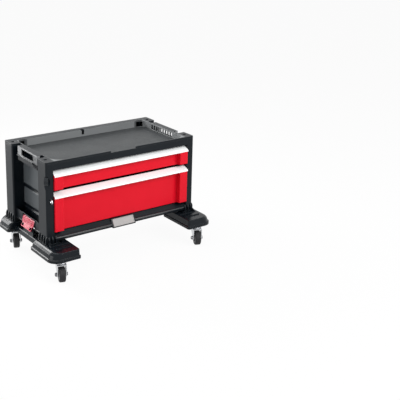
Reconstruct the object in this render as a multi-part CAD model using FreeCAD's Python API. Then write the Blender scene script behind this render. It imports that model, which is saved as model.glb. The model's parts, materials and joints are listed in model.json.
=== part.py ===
"""Two-drawer plastic tool chest on a wheeled dolly, in millimetres.

The pieces are drawn with X across the chest, Y from its front face to the back and Z up
from the floor.  At the end everything moves along Y so that the origin is on the floor,
in the middle of the whole footprint.
"""
import FreeCAD, Part
import math
import os

# Chest
CHEST_WIDTH = 562.0
CHEST_DEPTH = 289.0
CHEST_TOP = 367.0
SILL_BOTTOM = 105.0
FOOT_BOTTOM = 96.0
BADGE_SLOPE = [(-6.5, 106.0), (8.0, 131.0)]
COLUMN_BOTTOM = 108.0
COLUMN_TOP = 361.0
COLUMN_LENGTH = 55.0
CORNER_RADIUS = 5.0
WALL = 3.0

# Opening for the drawers and the recessed side walls
OPENING_HALF = 255.5
JAMB_DEPTH = 27.0
SIDE_OUTER = 237.0
SIDE_INNER = 234.5
HANDLE_INSET = 10.0
LOUVRE_PITCH = 69.0
LOUVRE_GAP = 12.0
LOUVRE_TOP = 320.0
LOUVRE_BOTTOM = 162.0
LEDGE_TOP = 144.5
LEDGE_BOTTOM = 113.0

# Tray on top
TRAY_HALF = 249.0
TRAY_FRONT = 5.0
TRAY_BACK = 262.0
TRAY_FLOOR = 343.0
TRAY_RADII = (38.0, 20.0)
TRAY_WELL = (230.0, 250.0, 17.0)
LIP_HALF = 48.0
GRIP_BOTTOM = 320.0
GRIP_LENGTH = 134.0
GRIP_HOLE = (82.0, 340.0, 362.0)
GRIP_SLOTS = 9
GRIP_SLOT_PITCH = 14.5

# Drawers
FRONT_HALF = 254.5
BAND_WIDTH = 31.0
BAND_FACE = -6.0
PANEL_FACE = 14.0
FRONT_THICK = 2.5
FLANGE_BACK = 25.0
TUB_HALF = 222.5
TUB_BACK = 268.0
TUB_WALL = 2.5
NOSE_Y = -8.6
RAKE = 0.5
RAIL_FRONT = 30.0
RAIL_BACK = 262.0
RAIL_HALF_HEIGHT = 17.5
RAIL_THICK = 1.4
PAD_GAP = 0.1
DRAWERS = {
    "upper": {"strip": 322.0, "bottom": 274.5, "tub": (276.0, 326.0), "rail": 303.0},
    "lower": {"strip": 251.7, "bottom": 137.0, "tub": (139.0, 256.0), "rail": 205.0},
}

# Central lock in the left front column
LOCK_X = -264.0
LOCK_PLANE = (20.0, 22.0)
LOCK_TRAVEL = 9.0
HOOK_HEIGHT = 5.0
HOOKS = {"upper": 300.0, "lower": 200.0}
SCOOP_RADIUS = 35.5
SCOOP_DEPTH = 10.3
SCOOP_HEIGHT = 301.5
KNOB_HEIGHT = 306.0
LOCK_EYE = (-267.2, -264.0, 239.0)

# Side latches
LATCH_PIN = (-267.0, 134.0)
LATCH_PIN_RADIUS = 2.5
LATCH_WIDTH = 77.0
HINGE_GAP = 0.05

# Dolly members and casters
DOLLY_OUT = 309.0
DOLLY_IN = 207.0
DOLLY_BOTTOM = 68.0
DOLLY_TOP = 99.0
SHOULDER = 90.0
SKIRT_TOP = 76.5
FOOT_PADS = {"front": (-84.0, 66.0), "rear": (224.0, 311.0)}
RAIL_OUT = 281.0
RAIL_IN = 236.0
RAIL_TOP = 85.0
SWIVEL_X = 263.0
SWIVEL_Y = {"front": -49.0, "rear": 265.0}
TRAIL = 22.0
WHEEL_RADIUS = 25.0
WHEEL_WIDTH = 20.0
PLATE_TOP = 66.0
HEADINGS = {
    "front_left": -18.4,
    "front_right": -23.5,
    "rear_left": -21.0,
    "rear_right": -17.0,
}

MIDDLE_Y = CHEST_DEPTH / 2
HALF_WIDTH = CHEST_WIDTH / 2


def vector(x, y, z):
    return FreeCAD.Vector(x, y, z)


def box(x0, x1, y0, y1, z0, z1):
    return Part.makeBox(x1 - x0, y1 - y0, z1 - z0, vector(x0, y0, z0))


def prism(points, axis, low, high):
    """Extrude a closed outline along X, Y or Z; its points hold the other two coordinates."""
    place = {
        "x": lambda a, b: vector(low, a, b),
        "y": lambda a, b: vector(a, low, b),
        "z": lambda a, b: vector(a, b, low),
    }[axis]
    corners = [place(a, b) for a, b in points]
    face = Part.Face(Part.makePolygon(corners + corners[:1]))
    span = high - low
    direction = {"x": vector(span, 0, 0), "y": vector(0, span, 0), "z": vector(0, 0, span)}
    return face.extrude(direction[axis])


def rod(radius, axis, centre, low, high):
    """A cylinder along an axis, whose centre holds the other two coordinates."""
    a, b = centre
    span = high - low
    if axis == "x":
        return Part.makeCylinder(radius, span, vector(low, a, b), vector(1, 0, 0))
    if axis == "y":
        return Part.makeCylinder(radius, span, vector(a, low, b), vector(0, 1, 0))
    return Part.makeCylinder(radius, span, vector(a, b, low), vector(0, 0, 1))


def fused(shapes):
    whole = shapes[0].multiFuse(shapes[1:]) if len(shapes) > 1 else shapes[0]
    return whole.removeSplitter()


def mirrored(shape):
    return shape.mirror(vector(0, 0, 0), vector(1, 0, 0))


def round_uprights(shape, corners, radius):
    """Round the vertical edges that stand at the given plan points."""
    edges = []
    for edge in shape.Edges:
        box_of_edge = edge.BoundBox
        upright = box_of_edge.XLength < 0.01 and box_of_edge.YLength < 0.01
        here = (box_of_edge.XMin, box_of_edge.YMin)
        if upright and any(math.dist(here, corner) < 0.1 for corner in corners):
            edges.append(edge)
    return shape.makeFillet(radius, edges)


def rounded_wire(x0, x1, y0, y1, z, radii):
    """A rectangle with a corner radius each, from the low corner round by high X."""
    corners = [(x0, y0), (x1, y0), (x1, y1), (x0, y1)]
    inward = [(1, 1), (-1, 1), (-1, -1), (1, -1)]
    edges = []
    spots = []
    for (x, y), (sx, sy), r in zip(corners, inward, radii):
        centre = (x + sx * r, y + sy * r)
        along_x = vector(centre[0], y, z)
        along_y = vector(x, centre[1], z)
        diagonal = r / math.sqrt(2)
        middle = vector(centre[0] - sx * diagonal, centre[1] - sy * diagonal, z)
        first, last = (along_y, along_x) if sx == sy else (along_x, along_y)
        spots.append((first, middle, last))
    for number, (first, middle, last) in enumerate(spots):
        edges.append(Part.Arc(first, middle, last).toShape())
        following = spots[(number + 1) % 4][0]
        edges.append(Part.LineSegment(last, following).toShape())
    return Part.Wire(edges)


def rounded_slab(x0, x1, y0, y1, z0, z1, radius):
    wire = rounded_wire(x0, x1, y0, y1, z0, [radius] * 4)
    return Part.Face(wire).extrude(vector(0, 0, z1 - z0))


# Chest shell

def deck_outline():
    w = HALF_WIDTH
    inner = TRAY_HALF + WALL
    back = CHEST_DEPTH - COLUMN_LENGTH
    left = [(-w, 0), (-w, COLUMN_LENGTH), (-inner, COLUMN_LENGTH), (-inner, back), (-w, back)]
    left.append((-w, CHEST_DEPTH))
    return left + [(-x, y) for x, y in reversed(left)]


def grip_box():
    """Outer wall of the carrying grip on the left, with its sill and slotted shoulder."""
    face = -(HALF_WIDTH - HANDLE_INSET)
    root = -(TRAY_HALF + WALL)
    y0 = MIDDLE_Y - GRIP_LENGTH / 2
    y1 = MIDDLE_Y + GRIP_LENGTH / 2
    shell = box(face, root, y0, y1, GRIP_BOTTOM, CHEST_TOP)
    hollow = box(face + WALL, root, y0 + WALL, y1 - WALL, GRIP_BOTTOM + WALL, GRIP_HOLE[2])
    width, low, high = GRIP_HOLE
    mouth = box(face - 1, face + WALL + 1, MIDDLE_Y - width / 2, MIDDLE_Y + width / 2, low, high)
    shell = shell.cut(hollow).cut(mouth)
    sill_profile = [(face, low - 9), (face - 3.6, low - 6), (face - 3.6, low - 1.5), (face, low)]
    sill = prism(sill_profile, "y", MIDDLE_Y - width / 2 - 1, y1)
    for step in range(3):
        y = MIDDLE_Y - width / 2 - 5.2 - 7.6 * step
        shell = shell.cut(box(face - 1, face + WALL + 1, y - 2.2, y + 2.2, GRIP_BOTTOM + 4, high))
    return fused([shell, sill])


def tray_block(extra, low, high):
    """The tray's plan, grown by a margin; its front corners are the rounder ones."""
    front, rear = (radius + extra for radius in TRAY_RADII)
    wire = rounded_wire(-TRAY_HALF - extra, TRAY_HALF + extra, TRAY_FRONT - extra, TRAY_BACK + extra,
                        low, [front, front, rear, rear])
    return Part.Face(wire).extrude(vector(0, 0, high - low))


def make_top_deck():
    cap = prism(deck_outline(), "z", COLUMN_TOP, CHEST_TOP)
    w = HALF_WIDTH
    far = CHEST_DEPTH - COLUMN_LENGTH
    cap = round_uprights(cap, [(-w, 0), (w, 0), (-w, CHEST_DEPTH), (w, CHEST_DEPTH)], CORNER_RADIUS)
    cap = round_uprights(cap, [(-w, far), (w, far)], CORNER_RADIUS)
    grip = grip_box()
    deck = fused([cap, tray_block(WALL, TRAY_FLOOR - WALL, CHEST_TOP), grip, mirrored(grip)])
    cuts = [tray_block(0, TRAY_FLOOR, CHEST_TOP + 1)]
    cuts.append(box(-LIP_HALF, LIP_HALF, -1, TRAY_FRONT + 1, COLUMN_TOP, CHEST_TOP + 1))
    cuts += tray_end_slots()
    cuts += [mirrored(slot) for slot in tray_end_slots()]
    cuts += stacking_pockets()
    cuts.append(box(-4.5, 4.5, TRAY_BACK - 1, TRAY_BACK + 6, 350, CHEST_TOP + 1))
    cuts.append(box(-8, 4.5, TRAY_BACK - 1, TRAY_BACK + 10, 363.5, CHEST_TOP + 1))
    x, y, radius = TRAY_WELL
    for side in (-1, 1):
        cuts.append(rod(radius, "z", (side * x, y), TRAY_FLOOR + 1.5, CHEST_TOP + 1))
    for cutter in cuts:
        deck = deck.cut(cutter)
    return deck


def tray_end_slots():
    slots = []
    first = -(GRIP_SLOTS - 1) / 2
    for number in range(GRIP_SLOTS):
        y = MIDDLE_Y + (first + number) * GRIP_SLOT_PITCH
        slots.append(box(-TRAY_HALF - WALL - 1, -TRAY_HALF + 1, y - 4.5, y + 4.5, 346, GRIP_HOLE[2]))
    return slots


def stacking_pockets():
    pockets = []
    for x in (-265.0, 265.0):
        for y in (31.0, CHEST_DEPTH - 31.0):
            pockets.append(box(x - 5.5, x + 5.5, y - 5, y + 5, COLUMN_TOP - 1, CHEST_TOP + 1))
    return pockets


def column_profile():
    w = HALF_WIDTH
    near = COLUMN_LENGTH
    far = CHEST_DEPTH - COLUMN_LENGTH
    outline = [(-w, 0), (-OPENING_HALF, 0), (-OPENING_HALF, JAMB_DEPTH), (-SIDE_INNER, JAMB_DEPTH),
               (-SIDE_INNER, CHEST_DEPTH), (-w, CHEST_DEPTH), (-w, far), (-SIDE_OUTER, far),
               (-SIDE_OUTER, near), (-w, near)]
    front_hollow = [(-w + WALL, WALL), (-OPENING_HALF - WALL, WALL),
                    (-OPENING_HALF - WALL, JAMB_DEPTH + WALL), (-SIDE_OUTER, JAMB_DEPTH + WALL),
                    (-SIDE_OUTER, near - WALL), (-w + WALL, near - WALL)]
    rear_hollow = [(-w + WALL, far + WALL), (-SIDE_OUTER, far + WALL),
                   (-SIDE_OUTER, CHEST_DEPTH - WALL), (-w + WALL, CHEST_DEPTH - WALL)]
    return outline, front_hollow, rear_hollow


def louvres():
    """Weatherboard faces on the recessed wall: each leans out to a lower lip."""
    boards = []
    y0 = COLUMN_LENGTH
    y1 = CHEST_DEPTH - COLUMN_LENGTH
    root = -SIDE_OUTER + 1
    top = LOUVRE_TOP
    low = LOUVRE_BOTTOM + LOUVRE_PITCH
    floor = LEDGE_BOTTOM + WALL
    while top > floor:
        low = max(low, floor)
        profile = [(root, top), (-SIDE_OUTER, top), (-SIDE_OUTER - 4.0, top - 5), (-SIDE_OUTER - 5.5, low),
                   (root, low)]
        boards.append(prism(profile, "y", y0, y1))
        top = low - LOUVRE_GAP
        low -= LOUVRE_PITCH
    return boards


def latch_ledge():
    """Open trough along the foot of the recess, with the mouth and ears of the latch."""
    face = -(HALF_WIDTH - HANDLE_INSET)
    root = -SIDE_OUTER + 1
    low = LEDGE_BOTTOM
    y0 = COLUMN_LENGTH - 1
    y1 = CHEST_DEPTH - COLUMN_LENGTH + 1
    profile = [(root, low), (root, low + WALL), (face + WALL, low + WALL), (face + WALL, LEDGE_TOP),
               (face, LEDGE_TOP), (face, low + WALL), (face - 2, low + 2), (face - 2, low)]
    pieces = [prism(profile, "y", y0, y1)]
    for y in (y0 + 17, y0 + 41, y1 - 41, y1 - 17):
        pieces.append(box(face + WALL - 0.5, root, y - 1.25, y + 1.25, low, low + 22))
    half = LATCH_WIDTH / 2 + 2.5
    mouth = box(face - 3, face + WALL + 1, MIDDLE_Y - half, MIDDLE_Y + half, low - 1, LEDGE_TOP - WALL)
    whole = fused(pieces).cut(mouth)
    x, z = LATCH_PIN
    ears = []
    for y in (MIDDLE_Y - half - WALL, MIDDLE_Y + half):
        ears.append(box(face - 1.5, x + 6, y, y + WALL, z - 7, LEDGE_TOP - 1))
    whole = fused([whole] + ears)
    pin_hole = rod(LATCH_PIN_RADIUS, "y", LATCH_PIN, MIDDLE_Y - half - 2, MIDDLE_Y + half + 2)
    return whole.cut(pin_hole)


def make_side_panel(with_lock):
    outline, front_hollow, rear_hollow = column_profile()
    panel = prism(outline, "z", COLUMN_BOTTOM, COLUMN_TOP)
    w = HALF_WIDTH
    far = CHEST_DEPTH - COLUMN_LENGTH
    panel = round_uprights(panel, [(-w, 0), (-w, CHEST_DEPTH)], CORNER_RADIUS)
    panel = round_uprights(panel, [(-w, COLUMN_LENGTH)], 2.0)
    panel = round_uprights(panel, [(-w, far)], CORNER_RADIUS)
    panel = panel.cut(prism(front_hollow, "z", COLUMN_BOTTOM - 1, COLUMN_TOP + 1))
    panel = panel.cut(prism(rear_hollow, "z", COLUMN_BOTTOM - 1, COLUMN_TOP + 1))
    panel = fused([panel, latch_ledge()] + louvres())
    tray_side = TRAY_HALF + WALL
    panel = panel.cut(box(-tray_side, 0, TRAY_FRONT - WALL, TRAY_BACK + WALL, TRAY_FLOOR - WALL, CHEST_TOP))
    return with_lock_openings(panel) if with_lock else panel


def at_corner(shape):
    """Turn a shape so that its X runs inwards from the column's corner at 45 degrees."""
    shape.rotate(vector(0, 0, 0), vector(0, 0, 1), 45)
    shape.translate(vector(-HALF_WIDTH, 0, 0))
    return shape


def scoop_drum(extra):
    centre = (SCOOP_DEPTH - SCOOP_RADIUS, SCOOP_HEIGHT)
    return at_corner(rod(SCOOP_RADIUS + extra, "y", centre, -30, 30))


def lever_stem(gap, travel):
    """The lever's cranked stem, or with a gap and travel the slot it moves in."""
    low = KNOB_HEIGHT - 3 - gap - travel
    high = KNOB_HEIGHT + 3 + gap
    arm = at_corner(box(2, 12 + gap, -2.5 - gap, 2.5 + gap, low, high))
    tail = box(-275 - gap, -270 + gap, 6.5, LOCK_PLANE[0], low, high)
    return arm.fuse(tail)


def with_lock_openings(panel):
    """The left column's lens-shaped scoop, bar guides and the windows that the hooks pass."""
    low = SCOOP_HEIGHT - 36
    high = SCOOP_HEIGHT + 36
    liner = box(-HALF_WIDTH + 2.5, -262, 2.5, 19, low, high).common(scoop_drum(WALL))
    guides = []
    for z in (170.0, 262.0):
        guides.append(box(-HALF_WIDTH + WALL - 0.5, -270.0, 17, 25, z, z + 5))
    panel = fused([panel, liner] + guides)
    panel = panel.cut(scoop_drum(0))
    panel = panel.cut(lever_stem(0.6, LOCK_TRAVEL))
    y0, y1 = LOCK_PLANE
    for z in HOOKS.values():
        panel = panel.cut(box(-OPENING_HALF - WALL - 1, -OPENING_HALF + 1, y0 - 1, y1 + 1,
                              z - LOCK_TRAVEL - 1, z + HOOK_HEIGHT + 1))
    panel = panel.cut(box(-277.3, -262.0, y0 - 0.25, y1 + 0.25, 165, 270))
    x0, x1, z = LOCK_EYE
    return panel.cut(box(x0 - 0.1, x1 + 0.1, -1, WALL + 1, z - 8.1, z + 8.1))


def make_back_panel():
    sheet = box(-SIDE_INNER, SIDE_INNER, CHEST_DEPTH - 6, CHEST_DEPTH - 3, COLUMN_BOTTOM, COLUMN_TOP)
    pieces = [sheet]
    for z in (COLUMN_BOTTOM, 188.0, 270.0, COLUMN_TOP - 10):
        pieces.append(box(-SIDE_INNER, SIDE_INNER, CHEST_DEPTH - 3, CHEST_DEPTH - 0.5, z, z + 10))
    for step in range(-2, 3):
        x = step * 92.0
        pieces.append(box(x - 4, x + 4, CHEST_DEPTH - 3, CHEST_DEPTH - 1, COLUMN_BOTTOM, COLUMN_TOP))
    return fused(pieces)


def make_bottom_panel():
    floor_low = 118.0
    pieces = [box(-SIDE_INNER, SIDE_INNER, 24, CHEST_DEPTH - 6, floor_low, floor_low + WALL)]
    for step in range(-3, 4):
        x = step * 70.0
        pieces.append(box(x - 1.25, x + 1.25, 24, CHEST_DEPTH - 6, COLUMN_BOTTOM, floor_low))
    for y in (26.0, 112.0, 198.0, 280.0):
        pieces.append(box(-SIDE_INNER, SIDE_INNER, y - 1.25, y + 1.25, COLUMN_BOTTOM, floor_low))
    return fused(pieces)


def make_front_rail():
    low = 338.0
    high = TRAY_FLOOR - WALL
    back = TRAY_FRONT - WALL
    profile = [(0, low + 1), (1, low), (PANEL_FACE, low), (PANEL_FACE, high), (back, high),
               (back, COLUMN_TOP), (0, COLUMN_TOP)]
    return prism(profile, "x", -OPENING_HALF, OPENING_HALF)


def make_front_sill():
    """Sloping apron under the drawers, with the raised pad that carries the badge."""
    profile = [(24, 131), (16, 130.5), (3, 118.2), (0.8, 117.2), (0, 116), (0, SILL_BOTTOM),
               (WALL, SILL_BOTTOM), (WALL, 114.5), (17.5, 127.8), (24, 128)]
    apron = prism(profile, "x", -OPENING_HALF, OPENING_HALF)
    pad_profile = [(13, 131.5)] + BADGE_SLOPE[::-1] + [(-6, SILL_BOTTOM - 1.5), (2, SILL_BOTTOM - 1.5),
                                                       (2, 113), (16, 126)]
    pad = prism(pad_profile, "x", -44, 44)
    return fused([apron, pad])


def make_badge_plate():
    """Bare plate on the sloping pad, with rounded corners and a raised rim."""
    low = vector(0, *BADGE_SLOPE[0])
    slope = vector(0, *BADGE_SLOPE[1]).sub(low)
    length = slope.Length
    plate = rounded_slab(-40, 40, 1.5, length - 2, 0, 1.6, 3)
    plate = plate.cut(rounded_slab(-38, 38, 3.5, length - 4, 1.0, 3, 2))
    plate.rotate(vector(0, 0, 0), vector(1, 0, 0), math.degrees(math.atan2(slope.z, slope.y)))
    plate.translate(low)
    return plate


def corner_foot(front):
    """Foot under a left column: a flanged cup whose ribs climb the column's faces."""
    w = HALF_WIDTH
    y0 = 0.0 if front else CHEST_DEPTH - COLUMN_LENGTH
    y1 = y0 + COLUMN_LENGTH
    inner_x = -240.0
    rim = 100.0
    flange_y = (y0 - 4.5, y1 + 2.5) if front else (y0 - 2.5, y1 + 4.5)
    flange = rounded_slab(-w - 4.5, inner_x, flange_y[0], flange_y[1], FOOT_BOTTOM, rim, 4)
    skirt = rounded_slab(-w, -OPENING_HALF - 0.2, y0, y1, rim, COLUMN_BOTTOM, 4)
    plug = box(-w + WALL, -OPENING_HALF - WALL, y0 + WALL + 0.2, y1 - WALL - 0.2, rim, COLUMN_BOTTOM + 10)
    hollow = box(-w + 6, -OPENING_HALF - 6, y0 + 6, y1 - 6, rim + 1, COLUMN_BOTTOM + 11)
    cup = fused([flange, skirt, plug]).cut(hollow)
    ribs = []
    side_rows = [3.2 + 15.2 * step for step in range(4)]
    for offset in side_rows:
        y = y0 + offset if front else y1 - offset
        profile = [(-w, 124), (-w - 1.2, 123), (-w - 4.4, 114.5), (-w - 4.4, rim), (-w, rim)]
        ribs.append(prism(profile, "y", y - 2.4, y + 2.4))
    end_face = y0 if front else y1
    outward = -1 if front else 1
    near = end_face + 0.3 * outward
    for offset in (5.8, 18.2, 30.6):
        x = -w + offset
        profile = [(near, 123.5), (end_face + 1.2 * outward, 122.5), (end_face + 4.4 * outward, 114.5),
                   (end_face + 4.4 * outward, rim - 1), (near, rim - 1)]
        ribs.append(prism(profile, "x", x - 2.4, x + 2.4))
    return fused([cup] + ribs)


# Drawers

def raked(y, strip_height):
    """Height of the strip's upper face over a plan depth."""
    return strip_height + (y - NOSE_Y) * RAKE


def make_drawer_front(sizes):
    """Red front: hollow end bands, a set-back panel and the web that backs the strip."""
    f = FRONT_HALF
    b = FRONT_HALF - BAND_WIDTH
    t = FRONT_THICK
    half = [(-f, FLANGE_BACK), (-f, BAND_FACE), (-b, BAND_FACE), (-b, PANEL_FACE)]
    back_half = [(-b - t, PANEL_FACE + WALL), (-b - t, BAND_FACE + t), (-f + t, BAND_FACE + t),
                 (-f + t, FLANGE_BACK)]
    outline = half + [(-x, y) for x, y in reversed(half)]
    outline += [(-x, y) for x, y in reversed(back_half)]
    outline += back_half
    strip = sizes["strip"]
    bottom = sizes["bottom"]
    low = bottom - 3.5
    shell = prism(outline, "z", low, strip + 14)
    shell = round_uprights(shell, [(-f, BAND_FACE), (f, BAND_FACE), (-b, BAND_FACE), (b, BAND_FACE)], 2.2)
    over = 2.6
    back = FLANGE_BACK + 1
    above = [(BAND_FACE - 3, raked(BAND_FACE - 3, strip) - over), (PANEL_FACE, raked(PANEL_FACE, strip) - over),
             (back, raked(PANEL_FACE, strip) - over), (back, strip + 30), (BAND_FACE - 3, strip + 30)]
    below = [(BAND_FACE - 3, bottom), (BAND_FACE, bottom), (PANEL_FACE, low), (PANEL_FACE, low - 1),
             (BAND_FACE - 3, low - 1)]
    shell = shell.cut(prism(above, "x", -f - 1, f + 1))
    shell = shell.cut(prism(below, "x", -f - 1, f + 1))
    web = [(NOSE_Y + 4, raked(NOSE_Y + 4, strip) - over), (PANEL_FACE, raked(PANEL_FACE, strip) - over),
           (PANEL_FACE + WALL, raked(PANEL_FACE, strip) - over), (PANEL_FACE + WALL, raked(PANEL_FACE, strip) - 9),
           (PANEL_FACE, raked(PANEL_FACE, strip) - 2 * over), (NOSE_Y + 4, raked(NOSE_Y + 4, strip) - 2 * over)]
    shell = fused([shell, prism(web, "x", -f + 0.5, f - 0.5)])
    return shell


def cut_bayonet(front, hook):
    """Open the left flange to the back at the hook's height, and downwards before it."""
    y0, y1 = LOCK_PLANE
    x0 = -FRONT_HALF - 1
    x1 = -FRONT_HALF + FRONT_THICK + 1.5
    channel = box(x0, x1, y0 - 1, FLANGE_BACK + 1, hook - 1, hook + HOOK_HEIGHT + 1)
    seat = box(x0, x1, y0 - 1, y1 + 0.6, hook - LOCK_TRAVEL - 1, hook)
    return front.cut(channel.fuse(seat))


def make_strip(sizes):
    """Metal pull strip: a raked blade with a rolled nose and a hook over the panel."""
    z = sizes["strip"]
    top_back = raked(PANEL_FACE, z)
    blade = 2.5
    points = [vector(0, PANEL_FACE + WALL, top_back), vector(0, PANEL_FACE, top_back),
              vector(0, NOSE_Y + 1.5, raked(NOSE_Y + 1.5, z)), vector(0, NOSE_Y, z - 1.8),
              vector(0, NOSE_Y + 0.9, z - 4.6), vector(0, NOSE_Y + 2.6, z - 4.2),
              vector(0, NOSE_Y + 2.6, raked(NOSE_Y + 2.6, z) - blade),
              vector(0, PANEL_FACE, top_back - blade), vector(0, PANEL_FACE + WALL, top_back - blade)]
    edges = []
    edges.append(Part.LineSegment(points[0], points[1]).toShape())
    edges.append(Part.LineSegment(points[1], points[2]).toShape())
    edges.append(Part.Arc(points[2], points[3], points[4]).toShape())
    for first, last in zip(points[4:], points[5:] + points[:1]):
        edges.append(Part.LineSegment(first, last).toShape())
    face = Part.Face(Part.Wire(edges))
    strip = face.extrude(vector(2 * FRONT_HALF, 0, 0))
    strip.translate(vector(-FRONT_HALF, 0, 0))
    return strip


def make_tub(sizes):
    """Open moulded tub with rounded corners and pairs of divider guides on its end walls."""
    low, high = sizes["tub"]
    front = PANEL_FACE + WALL
    outer = rounded_slab(-TUB_HALF, TUB_HALF, front, TUB_BACK, low, high, 8)
    rim = [edge for edge in outer.Edges if edge.BoundBox.ZMax < low + 0.01]
    outer = outer.makeFillet(3, rim)
    t = TUB_WALL
    inner = rounded_slab(-TUB_HALF + t, TUB_HALF - t, front + t, TUB_BACK - t, low + t, high + 5, 6)
    rim = [edge for edge in inner.Edges if edge.BoundBox.ZMax < low + t + 0.01]
    inner = inner.makeFillet(4, rim)
    tub = outer.cut(inner)
    guides = []
    for x in (-111.0, 0.0, 111.0):
        for gap in (-3.0, 3.0):
            for y0, y1 in ((front + t - 0.5, front + t + 4), (TUB_BACK - t - 4, TUB_BACK - t + 0.5)):
                guides.append(box(x + gap - 1, x + gap + 1, y0, y1, low + t - 0.5, high - 4))
    return fused([tub] + guides)


def channel(x_web, x_open, half_height, z, y0, y1):
    """A C-shaped rail whose web stands at x_web and whose flanges reach to x_open."""
    t = RAIL_THICK
    side = 1 if x_open > x_web else -1
    h = half_height
    profile = [(x_web, z - h), (x_open, z - h), (x_open, z - h + t), (x_web + side * t, z - h + t),
               (x_web + side * t, z + h - t), (x_open, z + h - t), (x_open, z + h), (x_web, z + h)]
    return prism(profile, "y", y0, y1)


def slide_parts(z):
    """Left telescopic slide: fixed rail, middle rail and the rail on the drawer."""
    wall = -SIDE_INNER
    fixed = channel(wall, wall + 9, RAIL_HALF_HEIGHT, z, RAIL_FRONT, RAIL_BACK)
    middle = channel(wall + 2.8, wall + 10, 14.0, z, RAIL_FRONT, RAIL_BACK)
    moving = channel(wall + 12, wall + 5.2, 10.5, z, RAIL_FRONT, RAIL_BACK)
    return fixed, middle, moving


def slide_pads(z):
    """Nylon pads of the left middle rail, four at each end."""
    wall = -SIDE_INNER
    pads = []
    outer_gap = (14.0, RAIL_HALF_HEIGHT - RAIL_THICK - PAD_GAP)
    inner_gap = (10.5 + PAD_GAP, 14.0 - RAIL_THICK)
    for y in (RAIL_FRONT + 2, RAIL_BACK - 22):
        for low, high in (outer_gap, inner_gap):
            x = wall + 5.6 if low < 12 else wall + 3.2
            pads.append(box(x, x + 3.6, y, y + 20, z + low, z + high))
            pads.append(box(x, x + 3.6, y, y + 20, z - high, z - low))
    return pads


# Lock and latches

def make_lock_bar():
    """Flat steel bar with one hook for each drawer."""
    y0, y1 = LOCK_PLANE
    bar = box(-277.0, -263.0, y0, y1, 160, 314)
    hooks = []
    for z in HOOKS.values():
        hooks.append(box(-266.0, -251.2, y0, y1, z, z + HOOK_HEIGHT))
    return fused([bar] + hooks)


def make_lock_lever():
    """Thumb lever: a lens-shaped knob with finger ridges on a stem that grips the bar."""
    z = KNOB_HEIGHT
    half = 13.0
    front = -1.0
    back = 3.6
    bulge = (half ** 2 + (back - front) ** 2) / (2 * (back - front))
    knob = box(front - 1, back, -6.5, 6.5, z - half, z + half)
    knob = knob.common(rod(bulge, "y", (front + bulge, z), -8, 8))
    ridges = []
    for step in range(-2, 3):
        ridges.append(rod(0.8, "y", (front + 0.15 + 0.14 * abs(step) ** 2, z + 2.6 * step), -5, 5))
    return fused([at_corner(knob), lever_stem(0, 0)] + [at_corner(ridge) for ridge in ridges])


def make_lock_eye():
    """Steel eye for a padlock: a blade through the column's face with a foot behind it."""
    x0, x1, z = LOCK_EYE
    tip = -10.0
    blade = box(x0, x1, tip + 8, WALL + 2, z - 8, z + 8)
    nose = rod(8, "x", (tip + 8, z), x0, x1)
    foot = box(x0 - 4, x1 + 3.5, WALL, WALL + 2, z - 12, z + 12)
    hole = rod(3.8, "x", (tip + 7, z), x0 - 1, x1 + 1)
    return fused([blade, nose, foot]).cut(hole)


def make_latch():
    """Left side latch: a hinged plate with a kicked-out flange and two windows."""
    x, z = LATCH_PIN
    half = LATCH_WIDTH / 2
    plate = [(x - 5.0, z + 2.0), (x - 10.0, z - 15), (x - 7.6, z - 15.6), (x - 2.6, z + 2.0)]
    flange = [(x - 10.0, z - 15), (x - 17.0, z - 29), (x - 14.6, z - 30), (x - 7.6, z - 15.6)]
    barrel = rod(4.3, "y", LATCH_PIN, MIDDLE_Y - half, MIDDLE_Y + half)
    cheek = half - 5
    pieces = [prism(plate, "y", MIDDLE_Y - half, MIDDLE_Y + half), barrel]
    pieces.append(prism(flange, "y", MIDDLE_Y - cheek, MIDDLE_Y + cheek))
    latch = fused(pieces)
    bore = rod(LATCH_PIN_RADIUS + HINGE_GAP, "y", LATCH_PIN, MIDDLE_Y - half - 1, MIDDLE_Y + half + 1)
    latch = latch.cut(bore)
    for y in (MIDDLE_Y - 26.5, MIDDLE_Y + 26.5):
        latch = latch.cut(box(x - 19, x - 6, y - 6, y + 6, z - 27, z - 18.5))
    return latch


def make_latch_pin():
    half = LATCH_WIDTH / 2 + 4.5
    return rod(LATCH_PIN_RADIUS, "y", LATCH_PIN, MIDDLE_Y - half, MIDDLE_Y + half)


# Dolly

def pad_solid(y0, y1, radii, inset, levels):
    """Pad lofted through levels: height, then how far the outer, inner and end sides lean in."""
    wires = []
    for z, outside, inside, ends in levels:
        wires.append(rounded_wire(-DOLLY_OUT + outside + inset, -DOLLY_IN - inside - inset,
                                  y0 + ends + inset, y1 - ends - inset, z, radii))
    return Part.makeLoft(wires, True, True)


def dolly_pad(place):
    """Hollow pad with a stepped skirt and the boss, tube and cross webs that carry its caster."""
    y0, y1 = FOOT_PADS[place]
    radii = [32, 6, 4, 9] if place == "front" else [9, 4, 6, 24]
    skin = [(DOLLY_BOTTOM, 0, 0, 0), (SKIRT_TOP, 0, 0, 0), (SKIRT_TOP + 2, 3, 2.5, 2.5),
            (SHOULDER, 7, 3, 3), (95.5, 12.5, 3.2, 3.2), (98, 17, 3.5, 3.5), (DOLLY_TOP, 21.5, 4.5, 4.5)]
    outer = pad_solid(y0, y1, radii, 0, skin)
    hollow = [(DOLLY_BOTTOM - 1, 0, 0, 0), (SKIRT_TOP - 1, 0, 0, 0), (SKIRT_TOP + 1, 3, 2.5, 2.5),
              (SHOULDER - 2, 7, 3, 3), (DOLLY_TOP - 5, 18, 3.5, 3.5)]
    core = pad_solid(y0, y1, radii, 3.0, hollow)
    return [outer.cut(core)] + caster_boss(place, outer)


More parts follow.
